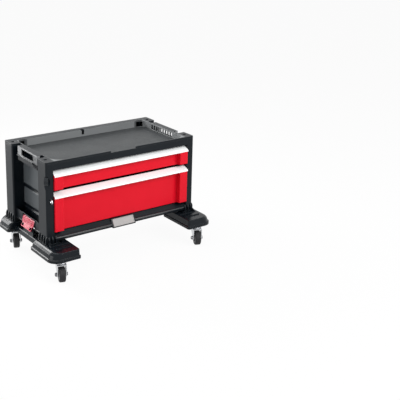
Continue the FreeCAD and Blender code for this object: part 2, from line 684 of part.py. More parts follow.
def deck_ridges(place):
    """Anti-slip ridges on the deck, and in front a ramp that leads the foot into its socket."""
    rows = (-22.0, -48.0) if place == "front" else (300.0,)
    ridges = []
    for y in rows:
        profile = [(y - 2.2, DOLLY_TOP - 1), (y - 1.4, DOLLY_TOP + 2.2), (y + 1.2, DOLLY_TOP + 2.2),
                   (y + 2.2, DOLLY_TOP - 1)]
        ridges.append(prism(profile, "x", -276, -216))
    if place == "front":
        ramp = [(-27, DOLLY_TOP - 1), (-6, DOLLY_TOP - 1), (-6, DOLLY_TOP + 9), (-9, DOLLY_TOP + 9)]
        ridges.append(prism(ramp, "x", -280, -276.5))
    return ridges


def caster_boss(place, outer):
    y = SWIVEL_Y[place]
    low = PLATE_TOP + 3
    high = DOLLY_TOP - 4
    pad = rounded_slab(-SWIVEL_X - 30, -SWIVEL_X + 30, y - 30, y + 30, PLATE_TOP, PLATE_TOP + 4, 5)
    tube = rod(22, "z", (-SWIVEL_X, y), low, high)
    across = box(-DOLLY_OUT, -DOLLY_IN, y - 1.5, y + 1.5, low, high).common(outer)
    along = box(-SWIVEL_X - 1.5, -SWIVEL_X + 1.5, y - 40, y + 40, low, high).common(outer)
    return [pad, tube, across, along]


def dolly_rail():
    """Inverted channel that joins the two pads, with the catch for the side latch."""
    y0, y1 = FOOT_PADS["front"][1] - 8, FOOT_PADS["rear"][0] + 8
    profile = [(-RAIL_OUT, DOLLY_BOTTOM), (-RAIL_OUT + 2, RAIL_TOP - 2), (-RAIL_OUT + 4, RAIL_TOP),
               (-RAIL_IN - 4, RAIL_TOP), (-RAIL_IN - 2, RAIL_TOP - 2), (-RAIL_IN, DOLLY_BOTTOM),
               (-RAIL_IN - 3, DOLLY_BOTTOM), (-RAIL_IN - 5, RAIL_TOP - 3.5), (-RAIL_OUT + 5, RAIL_TOP - 3.5),
               (-RAIL_OUT + 3, DOLLY_BOTTOM)]
    rail = prism(profile, "y", y0, y1)
    x = LATCH_PIN[0]
    post = [(x - 9, RAIL_TOP - 1), (x - 8, 111), (x - 4.5, 111), (x - 3, RAIL_TOP - 1)]
    catch = prism(post, "y", MIDDLE_Y - 36, MIDDLE_Y + 36)
    nubs = []
    for y in (MIDDLE_Y - 26.5, MIDDLE_Y + 26.5):
        nub = [(x - 7, 108.5), (x - 14.5, 112.5), (x - 14.5, 110), (x - 8, 103)]
        nubs.append(prism([(a, b) for a, b in nub], "y", y - 4, y + 4))
    return [rail, catch] + nubs


def make_dolly_member():
    pieces = dolly_rail()
    for place in FOOT_PADS:
        pieces += dolly_pad(place)
        pieces += deck_ridges(place)
    member = fused(pieces)
    for y in SWIVEL_Y.values():
        member = member.cut(rod(19, "z", (-SWIVEL_X, y), PLATE_TOP + 4, DOLLY_TOP - 5))
    back = CHEST_DEPTH - COLUMN_LENGTH
    for y0, y1 in ((-5.2, COLUMN_LENGTH + 3.2), (back - 3.2, CHEST_DEPTH + 5.2)):
        member = member.cut(box(-HALF_WIDTH - 5.2, -230.2, y0, y1, FOOT_BOTTOM, DOLLY_TOP + 3))
    return member


# Casters, drawn at the origin with the wheel trailing towards -Y

def caster_plate():
    """Mounting plate, bearing cup and king pin."""
    plate = rounded_slab(-27, 27, -27, 27, PLATE_TOP - 2.5, PLATE_TOP, 4)
    cup = Part.makeCone(20, 15, 5.2, vector(0, 0, 58.3))
    pin = rod(4, "z", (0, 0), 52.2, 60)
    head = rod(7, "z", (0, 0), 52.2, 54.4)
    whole = fused([plate, cup, pin, head])
    for x in (-20, 20):
        for y in (-20, 20):
            whole = whole.cut(rod(2.75, "z", (x, y), 60, PLATE_TOP + 1))
    return whole


def caster_fork():
    """Pressed fork: a crown with a turned-down rim and two tapering legs."""
    crown = rod(20, "z", (0, 0), 54.8, 58.0)
    bridge = box(-15, 15, -TRAIL - 8, 0, 54.8, 57.0)
    legs = []
    for side in (-1, 1):
        x0, x1 = sorted((side * 12.8, side * 15.0))
        leg = [(14, 57), (-TRAIL - 9, 57), (-TRAIL - 10, 40), (-TRAIL - 6.5, WHEEL_RADIUS - 6),
               (-TRAIL + 6.5, WHEEL_RADIUS - 6), (-TRAIL + 10, 32)]
        legs.append(prism(leg, "x", x0, x1))
        legs.append(rod(8.5, "x", (-TRAIL, WHEEL_RADIUS), x0, x1))
    fork = fused([crown, bridge] + legs)
    fork = fork.cut(rod(4.06, "z", (0, 0), 50, 60))
    return fork.cut(rod(3.0, "x", (-TRAIL, WHEEL_RADIUS), -20, 20))


def caster_tyre():
    """Soft tread with rounded shoulders, revolved about the axle."""
    half = WHEEL_WIDTH / 2
    r_in = 17.0
    shoulder = 4.0
    pts = [vector(-half, 0, r_in), vector(-half, 0, WHEEL_RADIUS - shoulder)]
    turn = shoulder * (1 - 1 / math.sqrt(2))
    edges = [Part.LineSegment(pts[0], pts[1]).toShape()]
    edges.append(Part.Arc(pts[1], vector(-half + turn, 0, WHEEL_RADIUS - turn),
                          vector(-half + shoulder, 0, WHEEL_RADIUS)).toShape())
    edges.append(Part.LineSegment(vector(-half + shoulder, 0, WHEEL_RADIUS),
                                  vector(half - shoulder, 0, WHEEL_RADIUS)).toShape())
    edges.append(Part.Arc(vector(half - shoulder, 0, WHEEL_RADIUS), vector(half - turn, 0, WHEEL_RADIUS - turn),
                          vector(half, 0, WHEEL_RADIUS - shoulder)).toShape())
    edges.append(Part.LineSegment(vector(half, 0, WHEEL_RADIUS - shoulder), vector(half, 0, r_in)).toShape())
    edges.append(Part.LineSegment(vector(half, 0, r_in), pts[0]).toShape())
    tyre = Part.Face(Part.Wire(edges)).revolve(vector(0, 0, 0), vector(1, 0, 0), 360)
    tyre.translate(vector(0, -TRAIL, WHEEL_RADIUS))
    return tyre


def caster_hub():
    """Hard wheel centre: rim, thin web and a boss bored for the axle."""
    half = WHEEL_WIDTH / 2
    profile = [(-half, 17), (-half, 14.5), (-2.5, 13), (-2.5, 8), (-half - 1.5, 7), (-half - 1.5, 3.06),
               (half + 1.5, 3.06), (half + 1.5, 7), (2.5, 8), (2.5, 13), (half, 14.5), (half, 17)]
    corners = [vector(x, 0, r) for x, r in profile]
    face = Part.Face(Part.makePolygon(corners + corners[:1]))
    hub = face.revolve(vector(0, 0, 0), vector(1, 0, 0), 360)
    hub.translate(vector(0, -TRAIL, WHEEL_RADIUS))
    return hub


def caster_axle():
    """Axle bolt with its head and nut outside the fork legs."""
    centre = (-TRAIL, WHEEL_RADIUS)
    shank = rod(3.0, "x", centre, -19, 19)
    head = rod(5.6, "x", centre, 15.0, 18.6)
    corners = []
    for turn in range(6):
        angle = math.radians(60 * turn)
        corners.append((-TRAIL + 6.2 * math.cos(angle), WHEEL_RADIUS + 6.2 * math.sin(angle)))
    nut = prism(corners, "x", -19.4, -15.0)
    dome = rod(4.6, "x", centre, -21.0, -19.0)
    return fused([shank, head, nut, dome])


def add_casters(parts):
    builders = {"plate": caster_plate, "fork": caster_fork, "tyre": caster_tyre, "hub": caster_hub,
                "axle": caster_axle}
    for corner, heading in HEADINGS.items():
        end, side = corner.split("_")
        x = -SWIVEL_X if side == "left" else SWIVEL_X
        for piece, build in builders.items():
            shape = build()
            if piece != "plate":
                shape.rotate(vector(0, 0, 0), vector(0, 0, 1), heading)
            shape.translate(vector(x, SWIVEL_Y[end], 0))
            parts[f"caster_{piece}_{corner}"] = shape


def add_chest(parts):
    parts["top_deck"] = make_top_deck()
    parts["side_panel_left"] = make_side_panel(True)
    parts["side_panel_right"] = mirrored(make_side_panel(False))
    parts["back_panel"] = make_back_panel()
    parts["bottom_panel"] = make_bottom_panel()
    parts["front_rail"] = make_front_rail()
    parts["front_sill"] = make_front_sill()
    parts["badge_plate"] = make_badge_plate()
    for place in ("front", "rear"):
        foot = corner_foot(place == "front")
        parts[f"corner_foot_{place}_left"] = foot
        parts[f"corner_foot_{place}_right"] = mirrored(foot)


def add_drawers(parts):
    for name, sizes in DRAWERS.items():
        parts[f"{name}_drawer_front"] = cut_bayonet(make_drawer_front(sizes), HOOKS[name])
        parts[f"{name}_drawer_strip"] = make_strip(sizes)
        parts[f"{name}_drawer_tub"] = make_tub(sizes)
        fixed, middle, moving = slide_parts(sizes["rail"])
        for role, rail in (("fixed", fixed), ("middle", middle), ("drawer", moving)):
            parts[f"{name}_{role}_rail_left"] = rail
            parts[f"{name}_{role}_rail_right"] = mirrored(rail)
        pads = slide_pads(sizes["rail"])
        parts[f"{name}_slide_pads"] = Part.makeCompound(pads + [mirrored(pad) for pad in pads])


def add_lock_and_latches(parts):
    parts["lock_bar"] = make_lock_bar()
    parts["lock_lever"] = make_lock_lever()
    parts["lock_eye"] = make_lock_eye()
    parts["side_latch_left"] = make_latch()
    parts["side_latch_right"] = mirrored(make_latch())
    pin = make_latch_pin()
    parts["latch_pins"] = Part.makeCompound([pin, mirrored(pin)])


def add_dolly(parts):
    member = make_dolly_member()
    parts["dolly_member_left"] = member
    parts["dolly_member_right"] = mirrored(member)


def centre_on_floor(parts):
    """Move everything so that the origin is under the middle of the footprint."""
    boxes = [shape.optimalBoundingBox(False) for shape in parts.values()]
    middle = (min(b.YMin for b in boxes) + max(b.YMax for b in boxes)) / 2
    for shape in parts.values():
        shape.translate(vector(0, -middle, 0))
    print("front face of the chest at Y =", round(-middle, 3))
    print("lowest point", round(min(b.ZMin for b in boxes), 3))


def main():
    parts = {}
    add_chest(parts)
    add_drawers(parts)
    add_lock_and_latches(parts)
    add_dolly(parts)
    add_casters(parts)
    centre_on_floor(parts)
    os.makedirs("parts", exist_ok=True)
    for name, shape in parts.items():
        if not shape.isValid():
            print("invalid shape", name)
        shape.exportStep(f"parts/{name}.step")
    print(len(parts), "nodes")


main()
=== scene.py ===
import json
import math
import bpy
from mathutils import Matrix, Vector


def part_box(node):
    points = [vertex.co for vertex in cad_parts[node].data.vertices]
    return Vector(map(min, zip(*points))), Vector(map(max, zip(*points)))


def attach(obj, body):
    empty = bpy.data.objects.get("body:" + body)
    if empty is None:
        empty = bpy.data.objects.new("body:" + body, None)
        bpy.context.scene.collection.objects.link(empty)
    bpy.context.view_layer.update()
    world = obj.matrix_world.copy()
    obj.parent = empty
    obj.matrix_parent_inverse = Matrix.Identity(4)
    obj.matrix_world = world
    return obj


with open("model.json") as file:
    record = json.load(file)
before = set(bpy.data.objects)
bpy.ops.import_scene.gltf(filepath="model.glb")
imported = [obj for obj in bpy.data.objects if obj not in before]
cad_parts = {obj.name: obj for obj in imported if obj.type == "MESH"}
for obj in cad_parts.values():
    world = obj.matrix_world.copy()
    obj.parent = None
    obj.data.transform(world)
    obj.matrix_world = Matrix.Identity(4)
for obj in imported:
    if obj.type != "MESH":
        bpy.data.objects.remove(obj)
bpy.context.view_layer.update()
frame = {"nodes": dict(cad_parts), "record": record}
nodes = frame["nodes"]
print("frame loaded:", len(nodes), "nodes")

corners = ("front_left", "front_right", "rear_left", "rear_right")


class Signal:
    # one output socket of a sheet, with the arithmetic used on it
    def __init__(self, sheet, socket):
        self.sheet = sheet
        self.socket = socket

    def calc(self, operation, other=0.0):
        return self.sheet.arith(operation, self, other)

    def __add__(self, other):
        return self.calc("ADD", other)

    def __radd__(self, other):
        return self.sheet.arith("ADD", other, self)

    def __sub__(self, other):
        return self.calc("SUBTRACT", other)

    def __rsub__(self, other):
        return self.sheet.arith("SUBTRACT", other, self)

    def __mul__(self, other):
        return self.calc("MULTIPLY", other)

    def __rmul__(self, other):
        return self.sheet.arith("MULTIPLY", other, self)

    def __gt__(self, other):
        return self.calc("GREATER_THAN", other)

    def __lt__(self, other):
        return self.calc("LESS_THAN", other)

    def __abs__(self):
        return self.calc("ABSOLUTE")

    def between(self, low, high):
        return (self > low) * (self < high)

    def remap(self, low, high, toLow, toHigh):
        sockets = {0: self, 1: low, 2: high, 3: toLow, 4: toHigh}
        return self.sheet.add("ShaderNodeMapRange", {"interpolation_type": "SMOOTHSTEP"}, sockets)


class NodeSheet:
    # a node tree and the single method that makes its nodes
    def __init__(self, tree):
        self.tree = tree
        self.tree.nodes.clear()

    def add(self, kind, settings=None, sockets=None, result=0):
        node = self.tree.nodes.new(kind)
        for key, value in (settings or {}).items():
            setattr(node, key, value)
        for key, value in (sockets or {}).items():
            if isinstance(value, Signal):
                self.tree.links.new(value.socket, node.inputs[key])
            else:
                node.inputs[key].default_value = value
        return Signal(self, node.outputs[result])

    def arith(self, operation, first, second):
        return self.add("ShaderNodeMath", {"operation": operation}, {0: first, 1: second})

    def axes(self):
        split = self.add("ShaderNodeSeparateXYZ", sockets={0: self.place})
        return [Signal(self, split.socket.node.outputs[i]) for i in range(3)]

    def end(self, kind, last):
        output = self.tree.nodes.new(kind)
        self.tree.links.new(last.socket, output.inputs[0])


class Finish(NodeSheet):
    # one material
    def __init__(self, name):
        self.material = bpy.data.materials.new(name)
        self.material.use_nodes = True
        super().__init__(self.material.node_tree)
        self.place = self.add("ShaderNodeTexCoord", result="Object")

    def noise(self, scale, detail=3.0, rough=0.55, stretch=None):
        place = self.place
        if stretch:
            place = self.add("ShaderNodeMapping", sockets={0: place, 3: stretch})
        sockets = {"Vector": place, "Scale": scale, "Detail": detail, "Roughness": rough}
        return self.add("ShaderNodeTexNoise", {}, sockets)

    def tones(self, factor, first, second):
        # first and second are colours, or signals that carry one
        first, second = [(*tone, 1) if isinstance(tone, tuple) else tone for tone in (first, second)]
        return self.add("ShaderNodeMix", {"data_type": "RGBA"}, {0: factor, 6: first, 7: second}, 2)

    def relief(self, height, depth, strength, edge):
        # fine bump on top of softened edges
        soft = self.add("ShaderNodeBevel", {"samples": 6}, {"Radius": edge})
        sockets = {"Height": height, "Distance": depth, "Strength": strength, "Normal": soft}
        return self.add("ShaderNodeBump", {}, sockets)

    def surface(self, colour, rough, normal, shine, metal=0.0):
        sockets = {"Base Color": colour, "Roughness": rough, "Normal": normal}
        sockets.update({"Specular IOR Level": shine, "Metallic": metal})
        self.end("ShaderNodeOutputMaterial", self.add("ShaderNodeBsdfPrincipled", sockets=sockets))
        return self.material


# Moulded plastic and rubber

mouldedBlack = {
    "dark": (0.0022, 0.0042, 0.0066),
    "light": (0.0050, 0.0078, 0.0108),
    "rough": (0.27, 0.38),
    "shine": 0.19,
    "cloudScale": 9.0,
    "grainScale": 700.0,
    "grainDepth": 0.00012,
    "edge": 0.0015,
}

trayedBlack = dict(
    mouldedBlack,
    trayHalf=0.2492,
    traySpan=(-0.1028, 0.1546),
    # painted light: the tray's inner walls are pale grey on what is the same black moulding
    wallPaintedLightLow=(0.16, 0.168, 0.172),
    wallPaintedLightHigh=(0.22, 0.228, 0.232),
    floorLevel=0.343,
    # the floor's speckle is real texture; its paler end is painted sheen
    floorDark=(0.012, 0.014, 0.015),
    floorSpeckAndSheen=(0.085, 0.091, 0.094),
    dotScale=230.0,
    dotHeight=3.0,
    speckScale=520.0,
    extraRough=0.08,
    paintedLightZones=[  # painted light: painted sheen on the grips' frames, then the wells in the rear corners painted lighter than their shade
        {"out": (0.2600, 0.2720), "span": (-0.034, 0.108), "level": (0.336, 0.3665),
         "dark": (0.21, 0.215, 0.22), "light": (0.28, 0.285, 0.29)},
        {"out": (0.2120, 0.2485), "span": (0.1535, 0.1605), "level": (0.3435, 0.3665),
         "dark": (0.06, 0.063, 0.066), "light": (0.09, 0.094, 0.098)},
    ],
)

panelBlack = dict(
    mouldedBlack,
    paintedLightZones=[  # painted sheen on the louvred wall between the columns
        {"out": (0.2392, 0.2460), "span": (-0.052, 0.126), "level": (0.147, 0.330),
         "dark": (0.048, 0.055, 0.060), "light": (0.074, 0.082, 0.088)},
    ],
)

dollyBlack = dict(mouldedBlack, rough=(0.22, 0.30), matteAbove=0.0992, matteExtra=0.72)
# the lock lever paler than the black moulding: a painted highlight
leverPaintedHighlight = dict(mouldedBlack, dark=(0.014, 0.017, 0.020), light=(0.026, 0.030, 0.033))
beadBlack = dict(mouldedBlack, rough=(0.36, 0.46), shine=0.75)

softTyre = {
    "dark": (0.008, 0.008, 0.009),
    "light": (0.018, 0.018, 0.020),
    "rough": (0.55, 0.75),
    "shine": 0.3,
    "cloudScale": 9.0,
    "grainScale": 500.0,
    "grainDepth": 0.0001,
    "edge": 0.0006,
}

hubPlastic = {
    "dark": (0.16, 0.165, 0.17),
    "light": (0.24, 0.245, 0.25),
    "rough": (0.4, 0.55),
    "shine": 0.4,
    "cloudScale": 9.0,
    "grainScale": 600.0,
    "grainDepth": 0.00006,
    "edge": 0.0005,
}

padPlastic = {
    "dark": (0.70, 0.70, 0.66),
    "light": (0.80, 0.80, 0.76),
    "rough": (0.35, 0.5),
    "shine": 0.5,
    "cloudScale": 9.0,
    "grainScale": 600.0,
    "grainDepth": 0.00004,
    "edge": 0.0003,
}


def makeMoulded(name, look):
    f = Finish(name)
    x, y, z = f.axes()
    cloud = f.noise(look["cloudScale"], 4.0)  # slow drift of tone
    colour = f.tones(cloud, look["dark"], look["light"])
    rough = cloud.remap(0.3, 0.7, *look["rough"])
    pebbleScale = look["grainScale"] * 0.6
    sockets = {"Vector": f.place, "Scale": pebbleScale, "Smoothness": 0.4}
    pebble = f.add("ShaderNodeTexVoronoi", {"feature": "SMOOTH_F1"}, sockets)
    height = f.noise(look["grainScale"], 2.0, 0.6) * 0.5 + pebble * 0.5
    if "trayHalf" in look:
        inTray = (abs(x) < look["trayHalf"]) * y.between(*look["traySpan"])
        inside = (z > look["floorLevel"] - 0.001) * inTray
        onFloor = inside * (z < look["floorLevel"] + 0.0008)
        dots = pebbleDots(f, look["dotScale"])
        speckle = f.noise(look["speckScale"], 3.0, 0.75).remap(0.36, 0.64, 0.0, 0.7)
        # painted light on the tray's walls, and painted sheen lifting the floor's speckle
        paintedLightWalls = f.tones(cloud, look["wallPaintedLightLow"], look["wallPaintedLightHigh"])
        floor = f.tones(speckle + dots * 0.3, look["floorDark"], look["floorSpeckAndSheen"])
        colour = f.tones(onFloor, f.tones(inside, colour, paintedLightWalls), floor)
        height = height + dots * onFloor * look["dotHeight"]
        rough = rough + onFloor * look["extraRough"]
    # painted light and painted sheen laid over the masked areas
    for paintedZone in look.get("paintedLightZones", []):
        paintedLightMask = abs(x).between(*paintedZone["out"]) * y.between(*paintedZone["span"]) * z.between(*paintedZone["level"])
        colour = f.tones(paintedLightMask, colour, f.tones(cloud, paintedZone["dark"], paintedZone["light"]))
    if "matteAbove" in look:
        rough = rough + (z > look["matteAbove"]) * look["matteExtra"]
    normal = f.relief(height, look["grainDepth"], 0.5, look["edge"])
    return f.surface(colour, rough, normal, look["shine"])


def pebbleDots(f, scale):
    # small dots in rows turned by 45 degrees
    turned = f.add("ShaderNodeMapping", sockets={0: f.place, 2: (0, 0, math.radians(45))})
    settings = {"feature": "F1", "voronoi_dimensions": "2D"}
    sockets = {"Vector": turned, "Scale": scale, "Randomness": 0.0}
    cells = f.add("ShaderNodeTexVoronoi", settings, sockets)
    return cells.remap(0.16, 0.36, 1.0, 0.0)


# Red drawer fronts and latches

redFront = {
    "dark": (0.60, 0.003, 0.014),
    "light": (0.70, 0.007, 0.022),
    "rough": (0.30, 0.42),
    "shine": 0.14,
    "cloudScale": 6.0,
    "peelScale": 420.0,
    "peelDepth": 0.00006,
    "edge": 0.0010,
}

latchRed = {
    "dark": (0.38, 0.015, 0.042),
    "light": (0.47, 0.028, 0.062),
    "rough": (0.36, 0.48),
    "shine": 0.45,
    "cloudScale": 6.0,
    "peelScale": 420.0,
    "peelDepth": 0.00006,
    "edge": 0.0008,
}


def makeRed(name, look):
    f = Finish(name)
    cloud = f.noise(look["cloudScale"])
    colour = f.tones(cloud, look["dark"], look["light"])
    rough = cloud.remap(0.3, 0.7, *look["rough"])
    normal = f.relief(f.noise(look["peelScale"], 2.0, 0.5), look["peelDepth"], 0.5, look["edge"])
    return f.surface(colour, rough, normal, look["shine"])


# Strips, badge and steel

pullStrip = {
    "dark": (0.93, 0.955, 0.955),
    "light": (0.97, 0.985, 0.985),
    "rough": (0.34, 0.44),
    "shine": 0.4,
    "metal": 0.05,
    "cloudScale": 14.0,
    "brushStretch": (3.0, 900.0, 900.0),
    "edge": 0.0006,
}

zincPlate = {
    "dark": (0.50, 0.51, 0.53),
    "light": (0.74, 0.75, 0.76),
    "rough": (0.22, 0.40),
    "shine": 0.5,
    "metal": 1.0,
    "cloudScale": 14.0,
    "brushStretch": (60.0, 60.0, 60.0),
    "edge": 0.0005,
}

screwSteel = {
    "dark": (0.10, 0.10, 0.105),
    "light": (0.20, 0.20, 0.21),
    "rough": (0.26, 0.40),
    "shine": 0.5,
    "metal": 1.0,
    "cloudScale": 14.0,
    "brushStretch": (80.0, 80.0, 80.0),
    "edge": 0.0003,
}

badgePlate = {
    "dark": (0.26, 0.255, 0.25),
    "light": (0.35, 0.34, 0.335),
    "rough": (0.48, 0.60),
    "shine": 0.2,
    "metal": 0.25,
    "cloudScale": 14.0,
    "brushStretch": (6.0, 1200.0, 1200.0),
    "edge": 0.0006,
}


def makeBrushed(name, look):
    f = Finish(name)
    brush = f.noise(1.0, 3.0, 0.6, stretch=look["brushStretch"])
    cloud = f.noise(look["cloudScale"])
    brushShare, brushDepth = 0.6, 0.00004
    colour = f.tones(brush * brushShare + cloud * (1 - brushShare), look["dark"], look["light"])
    rough = brush.remap(0.3, 0.7, *look["rough"])
    normal = f.relief(brush, brushDepth, 0.35, look["edge"])
    return f.surface(colour, rough, normal, look["shine"], look["metal"])


blackMaterial = makeMoulded("black_moulding", mouldedBlack)
deckMaterial = makeMoulded("trayed_deck", trayedBlack)
panelMaterial = makeMoulded("side_panel_black", panelBlack)
dollyMaterial = makeMoulded("dolly_black", dollyBlack)
leverMaterial = makeMoulded("lever_grey", leverPaintedHighlight)
beadMaterial = makeMoulded("sill_bead_black", beadBlack)
tyreMaterial = makeMoulded("tyre_tread", softTyre)
hubMaterial = makeMoulded("hub_nylon", hubPlastic)
padMaterial = makeMoulded("pad_acetal", padPlastic)
redMaterial = makeRed("red_moulding", redFront)
latchMaterial = makeRed("red_latch", latchRed)
stripMaterial = makeBrushed("satin_strip", pullStrip)
zincMaterial = makeBrushed("zinc_plated_steel", zincPlate)
screwMaterial = makeBrushed("black_oxide_steel", screwSteel)
badgeMaterial = makeBrushed("bare_badge", badgePlate)

slotFinishes = {
    "black_plastic": blackMaterial,
    "red_plastic": redMaterial,
    "satin_strip": stripMaterial,
    "zinc_steel": zincMaterial,
    "badge_metal": badgeMaterial,
    "tyre_tread": tyreMaterial,
    "hub_plastic": hubMaterial,
    "pad_plastic": padMaterial,
}
ownFinishes = {
    "top_deck": deckMaterial,
    "lock_lever": leverMaterial,
    "side_panel_left": panelMaterial,
    "side_panel_right": panelMaterial,
    "side_latch_left": latchMaterial,
    "side_latch_right": latchMaterial,
    "dolly_member_left": dollyMaterial,
    "dolly_member_right": dollyMaterial,
}
ownFinishes.update({"caster_axle_" + corner: screwMaterial for corner in corners})

for entry in frame["record"]["subparts"]:
    shown = nodes[entry["node"]]
    shown.data.materials.clear()
    shown.data.materials.append(ownFinishes.get(entry["node"], slotFinishes[entry["material_slot"]]))
print("finishes set on", len(nodes), "nodes")


# Screws and ribs, grown on lists of places

class Recipe(NodeSheet):
    # one tree that turns points with a facing and an along direction into a plain mesh
    def __init__(self, name):
        tree = bpy.data.node_groups.new(name, "GeometryNodeTree")
        super().__init__(tree)
        self.place = self.add("GeometryNodeInputPosition")
        tree.interface.new_socket("Geometry", in_out="OUTPUT", socket_type="NodeSocketGeometry")
        self.entry = tree.nodes.new("NodeGroupInput")

    def given(self, name, kind="Float"):
        self.tree.interface.new_socket(name, in_out="INPUT", socket_type="NodeSocket" + kind)
        return Signal(self, self.entry.outputs[name])

    def shell(self, around, along, shape):
        # a closed shell: shape gives x, y, z from the angles down from the tip and round the axis
        sheet = self.add("GeometryNodeMeshGrid", {}, {0: math.pi, 1: 2 * math.pi, 2: along, 3: around})
        down, turn = self.axes()[:2]
        x, y, z = shape(down + math.pi / 2, turn)
        place = self.add("ShaderNodeCombineXYZ", {}, {0: x, 1: y, 2: z})
        bent = self.add("GeometryNodeSetPosition", {}, {"Geometry": sheet, "Position": place})
        return self.add("GeometryNodeMergeByDistance", {}, {"Geometry": bent, "Distance": 0.000002})

    def fade(self, value, limit):
        # 1 inside the limit, 0 beyond it
        return self.add("ShaderNodeMapRange", {}, {0: value, 1: limit, 2: limit * 1.35, 3: 1.0, 4: 0.0})

    def turned(self, axis, direction, settings, sockets):
        vector = self.add("GeometryNodeInputNamedAttribute", {"data_type": "FLOAT_VECTOR"}, {"Name": direction})
        settings, sockets = dict(settings, axis=axis), dict(sockets, Vector=vector)
        return self.add("FunctionNodeAlignRotationToVector", settings, sockets)

    def close(self, points, shell, material):
        upright = self.turned("Z", "facing", {}, {})
        turned = self.turned("X", "along", {"pivot_axis": "Z"}, {"Rotation": upright})
        sockets = {"Points": points, "Instance": shell, "Rotation": turned}
        copies = self.add("GeometryNodeInstanceOnPoints", {}, sockets)
        real = self.add("GeometryNodeRealizeInstances", {}, {0: copies})
        done = self.add("GeometryNodeSetMaterial", {}, {"Geometry": real, "Material": material})
        self.end("NodeGroupOutput", done)


def makeScrewRecipe():
    r = Recipe("pan_head_screws")
    points = r.given("Places", "Geometry")
    radius, height = r.given("Head radius"), r.given("Head height")
    slot, depth = r.given("Recess width"), r.given("Recess depth")
    material = r.given("Finish", "Material")
    bulge, reach = 0.55, 3.4  # fullness of the head, and the cross recess's length in widths

    def head(down, turn):
        girth = radius * down.calc("SINE").calc("POWER", bulge)
        x, y = girth * turn.calc("COSINE"), girth * turn.calc("SINE")
        dome = height * (down.calc("COSINE") + 1) * 0.5
        across, upright = abs(x), abs(y)
        arm = r.fade(across, slot) * r.fade(upright, slot * reach)
        post = r.fade(upright, slot) * r.fade(across, slot * reach)
        upper = down < math.pi / 2
        return x, y, dome - arm.calc("MAXIMUM", post) * depth * upper

    r.close(points, r.shell(36, 22, head), material)
    return r


def makeRibRecipe():
    r = Recipe("rounded_ribs")
    points = r.given("Places", "Geometry")
    length, width, height = r.given("Length"), r.given("Width"), r.given("Height")
    material = r.given("Finish", "Material")
    hurry = 5  # how soon the round end becomes the straight run

    def rib(down, turn):
        run = down.calc("COSINE")
        stretch = (run * hurry).calc("MAXIMUM", -1.0).calc("MINIMUM", 1.0)
        girth = down.calc("SINE")
        x = run * width * 0.5 + stretch * (length - width) * 0.5
        return x, girth * turn.calc("COSINE") * width * 0.5, girth * turn.calc("SINE") * height

    r.close(points, r.shell(16, 15, rib), material)
    return r


def grow(recipe, name, spots, values, body):
    # spots are place, facing and along; the result is one plain mesh on one body
    mesh = bpy.data.meshes.new(name)
    mesh.from_pydata([spot[0] for spot in spots], [], [])
    for key, index in (("facing", 1), ("along", 2)):
        layer = mesh.attributes.new(key, "FLOAT_VECTOR", "POINT")
        for entry, spot in zip(layer.data, spots):
            entry.vector = spot[index]
    seed = bpy.data.objects.new(name + "_places", mesh)
    bpy.context.scene.collection.objects.link(seed)
    modifier = seed.modifiers.new("grow", "NODES")
    modifier.node_group = recipe.tree
    for item in recipe.tree.interface.items_tree:
        if item.in_out == "INPUT" and item.name in values:
            modifier[item.identifier] = values[item.name]
    grown = seed.evaluated_get(bpy.context.evaluated_depsgraph_get())
    solid = bpy.data.meshes.new_from_object(grown)
    seed.modifiers.clear()
    bpy.data.objects.remove(seed)
    solid.name = name
    for face in solid.polygons:
        face.use_smooth = True
    piece = bpy.data.objects.new(name, solid)
    bpy.context.scene.collection.objects.link(piece)
    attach(piece, body)
    print(name, "grown on", len(spots), "places")


def nodeCentre(name):
    low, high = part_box(name)
    return (Vector(low) + Vector(high)) / 2


def ownTurn(index):
    # each screw stops at its own turn
    angle = index * 2.4
    return math.cos(angle), math.sin(angle)


screwRecipe = makeScrewRecipe()
ribRecipe = makeRibRecipe()

plateScrews = {
    "Head radius": 0.0047,
    "Head height": 0.0026,
    "Recess width": 0.0006,
    "Recess depth": 0.0015,
    "Finish": zincMaterial,
    "spread": 0.020,
    "under": 0.0635,
}


def makePlateScrews(look):
    spots = []
    for corner in corners:
        middle = nodeCentre("caster_plate_" + corner)
        for dx in (-look["spread"], look["spread"]):
            for dy in (-look["spread"], look["spread"]):
                c, s = ownTurn(len(spots))
                spots.append(((middle.x + dx, middle.y + dy, look["under"]), (0, 0, -1), (c, s, 0)))
    grow(screwRecipe, "caster_plate_screws", spots, look, "chest_and_dolly")


backScrews = {
    "Head radius": 0.0042,
    "Head height": 0.0022,
    "Recess width": 0.0005,
    "Recess depth": 0.0012,
    "Finish": screwMaterial,
    "plane": 0.1808,
    "columns": (-0.222, -0.138, -0.046, 0.046, 0.138, 0.222),
    "rows": (0.113, 0.193, 0.275, 0.356),
}


def makeBackScrews(look):
    spots = []
    for z in look["rows"]:
        for x in look["columns"]:
            if z in (look["rows"][0], look["rows"][-1]) or abs(x) == look["columns"][-1]:
                c, s = ownTurn(len(spots))
                spots.append(((x, look["plane"], z), (0, 1, 0), (c, 0, s)))
    grow(screwRecipe, "back_panel_screws", spots, look, "chest_and_dolly")


tubScrews = {
    "Head radius": 0.0040,
    "Head height": 0.0020,
    "Recess width": 0.0005,
    "Recess depth": 0.0011,
    "Finish": screwMaterial,
    "wall": 0.2200,
    "stations": (-0.064, 0.035, 0.134),
}


def makeTubScrews(drawer, look):
    level = nodeCentre(drawer + "_rail_left").z
    spots = []
    for side in (-1, 1):
        for y in look["stations"]:
            c, s = ownTurn(len(spots))
            spots.append(((side * look["wall"], y, level), (-side, 0, 0), (0, c, s)))
    grow(screwRecipe, drawer + "_screws", spots, look, drawer)


latchRibs = {
    "Length": 0.058,
    "Width": 0.0017,
    "Height": 0.0010,
    "Finish": latchMaterial,
    "top": (0.2725, 0.1345),
    "slope": (0.005, -0.017),
    "shares": (0.16, 0.36, 0.56, 0.76),
}


